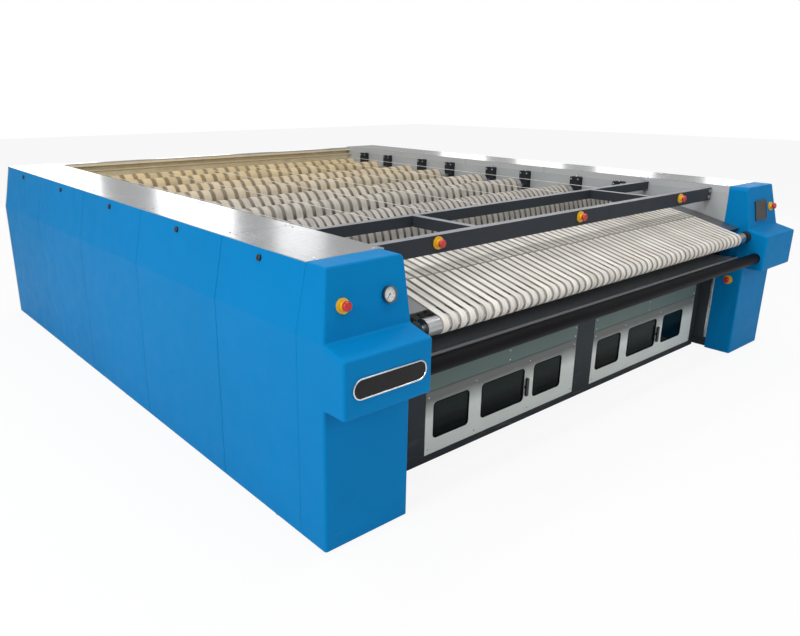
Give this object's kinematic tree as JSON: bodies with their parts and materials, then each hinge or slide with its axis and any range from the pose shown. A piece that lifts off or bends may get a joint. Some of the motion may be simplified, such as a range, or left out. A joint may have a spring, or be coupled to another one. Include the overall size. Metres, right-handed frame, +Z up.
{
  "type": "flatwork ironer",
  "caption": "Industrial flatwork ironer with heated rolls, guide belts and a belted feed table between two side housings, with hinged doors and emergency stops.",
  "frame": {"origin": "on the floor, under the middle of the footprint", "axes": "+Z up, +Y from the feed end to the outlet, +X to the operator's right, rolls turn about X"},
  "size_m": [4.25, 4.678, 1.275],
  "materials": {
    "blue_paint": "semi-gloss powder coat",
    "stainless": "brushed sheet",
    "charcoal_paint": "satin paint",
    "frame_paint": "satin paint",
    "door_paint": "satin paint",
    "tinted_glass": "tinted",
    "black_plastic": "moulded",
    "yellow_plastic": "moulded",
    "red_plastic": "moulded",
    "gauge_metal": "polished",
    "needle_black": "matt",
    "screen_plastic": "moulded",
    "roller_steel": "turned",
    "belt_cloth": "woven, off-white",
    "golden_cloth": "woven, heat-tanned",
    "bar_rubber": "smooth",
    "roll_steel": "ground and polished",
    "cast_black": "painted",
    "drive_grey": "painted",
    "chain_steel": "oiled",
    "pipe_steel": "aluminium paint",
    "white_cord": "braided",
    "white_plastic": "moulded"
  },
  "bodies": {
    "frame": {"base_frame": "charcoal_paint", "levelling_feet": "roller_steel", "left_side_frame": "frame_paint", "right_side_frame": "frame_paint", "left_front_cap": "blue_paint", "right_front_cap": "blue_paint", "left_side_panels": "blue_paint", "right_side_panels": "blue_paint", "left_top_covers": "stainless", "right_top_covers": "stainless", "rear_cover": "stainless", "panel_locks": "black_plastic", "front_frame": "charcoal_paint", "door_fascias": "door_paint", "gantry_frame": "charcoal_paint", "estop_bases": "yellow_plastic", "pressure_gauge": "gauge_metal", "touch_screen": "screen_plastic", "feed_belts": "belt_cloth", "feed_bed": "stainless", "feed_tray": "frame_paint", "guide_strings": "white_cord", "bearing_blocks": "cast_black", "gear_motor": "drive_grey", "drive_chain": "chain_steel", "steam_manifold": "pipe_steel", "belt_tension_bars": "roller_steel", "transfer_combs": "white_plastic", "guide_belts_1": "belt_cloth", "guide_belts_2": "belt_cloth", "guide_belts_3": "golden_cloth", "guide_belts_4": "golden_cloth"},
    "estop_gantry_centre": {"estop_gantry_centre": "red_plastic"},
    "estop_gantry_left": {"estop_gantry_left": "red_plastic"},
    "estop_gantry_right": {"estop_gantry_right": "red_plastic"},
    "estop_left_cap": {"estop_left_cap": "red_plastic"},
    "estop_right_cap": {"estop_right_cap": "red_plastic"},
    "estop_right_column": {"estop_right_column": "red_plastic"},
    "feed_roller_front": {"feed_roller_front": "roller_steel"},
    "feed_roller_rear": {"feed_roller_rear": "roller_steel"},
    "front_guide_roller_1": {"front_guide_roller_1": "roller_steel"},
    "front_guide_roller_2": {"front_guide_roller_2": "roller_steel"},
    "front_guide_roller_3": {"front_guide_roller_3": "roller_steel"},
    "front_guide_roller_4": {"front_guide_roller_4": "roller_steel"},
    "gauge_needle": {"gauge_needle": "needle_black"},
    "guard_bar": {"guard_bar": "bar_rubber"},
    "heated_roll_1": {"heated_roll_1": "roll_steel"},
    "heated_roll_2": {"heated_roll_2": "roll_steel"},
    "heated_roll_3": {"heated_roll_3": "roll_steel"},
    "heated_roll_4": {"heated_roll_4": "roll_steel"},
    "rear_guide_roller_1": {"rear_guide_roller_1": "roller_steel"},
    "rear_guide_roller_2": {"rear_guide_roller_2": "roller_steel"},
    "rear_guide_roller_3": {"rear_guide_roller_3": "roller_steel"},
    "rear_guide_roller_4": {"rear_guide_roller_4": "roller_steel"},
    "left_door": {"left_window_door": "door_paint", "left_door_panes": "tinted_glass"},
    "left_latch": {"left_door_latch": "black_plastic"},
    "right_door": {"right_window_door": "door_paint", "right_door_panes": "tinted_glass"},
    "right_latch": {"right_door_latch": "black_plastic"}
  },
  "joints": [
    {"name": "heated_roll_1_spin", "type": "hinge", "parent": "frame", "child": "heated_roll_1", "pos_m": [0, -0.9865, 0.56], "axis": [1, 0, 0], "continuous": true},
    {"name": "heated_roll_2_spin", "type": "hinge", "parent": "frame", "child": "heated_roll_2", "pos_m": [0, -0.0615, 0.56], "axis": [1, 0, 0], "continuous": true},
    {"name": "heated_roll_3_spin", "type": "hinge", "parent": "frame", "child": "heated_roll_3", "pos_m": [0, 0.8635, 0.56], "axis": [1, 0, 0], "continuous": true},
    {"name": "heated_roll_4_spin", "type": "hinge", "parent": "frame", "child": "heated_roll_4", "pos_m": [0, 1.7885, 0.56], "axis": [1, 0, 0], "continuous": true},
    {"name": "front_guide_roller_1_spin", "type": "hinge", "parent": "frame", "child": "front_guide_roller_1", "pos_m": [0, -1.184, 1.06579], "axis": [1, 0, 0], "continuous": true},
    {"name": "rear_guide_roller_1_spin", "type": "hinge", "parent": "frame", "child": "rear_guide_roller_1", "pos_m": [0, -0.789, 1.07021], "axis": [1, 0, 0], "continuous": true},
    {"name": "front_guide_roller_2_spin", "type": "hinge", "parent": "frame", "child": "front_guide_roller_2", "pos_m": [0, -0.259, 1.07615], "axis": [1, 0, 0], "continuous": true},
    {"name": "rear_guide_roller_2_spin", "type": "hinge", "parent": "frame", "child": "rear_guide_roller_2", "pos_m": [0, 0.136, 1.08057], "axis": [1, 0, 0], "continuous": true},
    {"name": "front_guide_roller_3_spin", "type": "hinge", "parent": "frame", "child": "front_guide_roller_3", "pos_m": [0, 0.666, 1.08651], "axis": [1, 0, 0], "continuous": true},
    {"name": "rear_guide_roller_3_spin", "type": "hinge", "parent": "frame", "child": "rear_guide_roller_3", "pos_m": [0, 1.061, 1.09093], "axis": [1, 0, 0], "continuous": true},
    {"name": "front_guide_roller_4_spin", "type": "hinge", "parent": "frame", "child": "front_guide_roller_4", "pos_m": [0, 1.591, 1.09687], "axis": [1, 0, 0], "continuous": true},
    {"name": "rear_guide_roller_4_spin", "type": "hinge", "parent": "frame", "child": "rear_guide_roller_4", "pos_m": [0, 1.986, 1.10129], "axis": [1, 0, 0], "continuous": true},
    {"name": "feed_roller_front_spin", "type": "hinge", "parent": "frame", "child": "feed_roller_front", "pos_m": [0, -2.191, 0.888], "axis": [1, 0, 0], "continuous": true},
    {"name": "feed_roller_rear_spin", "type": "hinge", "parent": "frame", "child": "feed_roller_rear", "pos_m": [0, -1.571, 1.033], "axis": [1, 0, 0], "continuous": true},
    {"name": "guard_bar_trip", "type": "slide", "parent": "frame", "child": "guard_bar", "axis": [0, 1, 0], "range_m": [0, 0.012], "stiffness_N_per_m": 3000},
    {"name": "estop_gantry_left_press", "type": "slide", "parent": "frame", "child": "estop_gantry_left", "axis": [0, 1, 0], "range_m": [0, 0.005], "stiffness_N_per_m": 2500},
    {"name": "estop_gantry_centre_press", "type": "slide", "parent": "frame", "child": "estop_gantry_centre", "axis": [0, 1, 0], "range_m": [0, 0.005], "stiffness_N_per_m": 2500},
    {"name": "estop_gantry_right_press", "type": "slide", "parent": "frame", "child": "estop_gantry_right", "axis": [0, 1, 0], "range_m": [0, 0.005], "stiffness_N_per_m": 2500},
    {"name": "estop_left_cap_press", "type": "slide", "parent": "frame", "child": "estop_left_cap", "axis": [0, 0.9821, -0.1886], "range_m": [0, 0.005], "stiffness_N_per_m": 2500},
    {"name": "estop_right_cap_press", "type": "slide", "parent": "frame", "child": "estop_right_cap", "axis": [0, 0.9821, -0.1886], "range_m": [0, 0.005], "stiffness_N_per_m": 2500},
    {"name": "estop_right_column_press", "type": "slide", "parent": "frame", "child": "estop_right_column", "axis": [1, 0, 0], "range_m": [0, 0.005], "stiffness_N_per_m": 2500},
    {"name": "left_door_hinge", "type": "hinge", "parent": "frame", "child": "left_door", "pos_m": [-0.6045, -1.927, 0.4075], "axis": [-1, 0, 0], "range_deg": [0, 80]},
    {"name": "left_latch_turn", "type": "hinge", "parent": "left_door", "child": "left_latch", "pos_m": [-0.434, -1.931, 0.216], "axis": [0, -1, 0], "range_deg": [0, 90]},
    {"name": "right_door_hinge", "type": "hinge", "parent": "frame", "child": "right_door", "pos_m": [0.9205, -1.927, 0.4075], "axis": [-1, 0, 0], "range_deg": [0, 80]},
    {"name": "right_latch_turn", "type": "hinge", "parent": "right_door", "child": "right_latch", "pos_m": [1.067, -1.931, 0.216], "axis": [0, -1, 0], "range_deg": [0, 90]},
    {"name": "gauge_needle_swing", "type": "hinge", "parent": "frame", "child": "gauge_needle", "pos_m": [-1.767, -2.19402, 1.07775], "axis": [0, 0.9821, -0.1886], "range_deg": [0, 270], "stiffness_Nm_per_rad": 0.004}
  ],
  "couplings": [
    {"joint": "heated_roll_2_spin", "follows": "heated_roll_1_spin", "ratio": 1},
    {"joint": "heated_roll_3_spin", "follows": "heated_roll_1_spin", "ratio": 1},
    {"joint": "heated_roll_4_spin", "follows": "heated_roll_1_spin", "ratio": 1},
    {"joint": "front_guide_roller_1_spin", "follows": "heated_roll_1_spin", "ratio": 5.7143},
    {"joint": "rear_guide_roller_1_spin", "follows": "heated_roll_1_spin", "ratio": 5.7143},
    {"joint": "front_guide_roller_2_spin", "follows": "heated_roll_1_spin", "ratio": 5.7143},
    {"joint": "rear_guide_roller_2_spin", "follows": "heated_roll_1_spin", "ratio": 5.7143},
    {"joint": "front_guide_roller_3_spin", "follows": "heated_roll_1_spin", "ratio": 5.7143},
    {"joint": "rear_guide_roller_3_spin", "follows": "heated_roll_1_spin", "ratio": 5.7143},
    {"joint": "front_guide_roller_4_spin", "follows": "heated_roll_1_spin", "ratio": 5.7143},
    {"joint": "rear_guide_roller_4_spin", "follows": "heated_roll_1_spin", "ratio": 5.7143},
    {"joint": "feed_roller_front_spin", "follows": "heated_roll_1_spin", "ratio": -9.5238},
    {"joint": "feed_roller_rear_spin", "follows": "heated_roll_1_spin", "ratio": -9.5238}
  ]
}
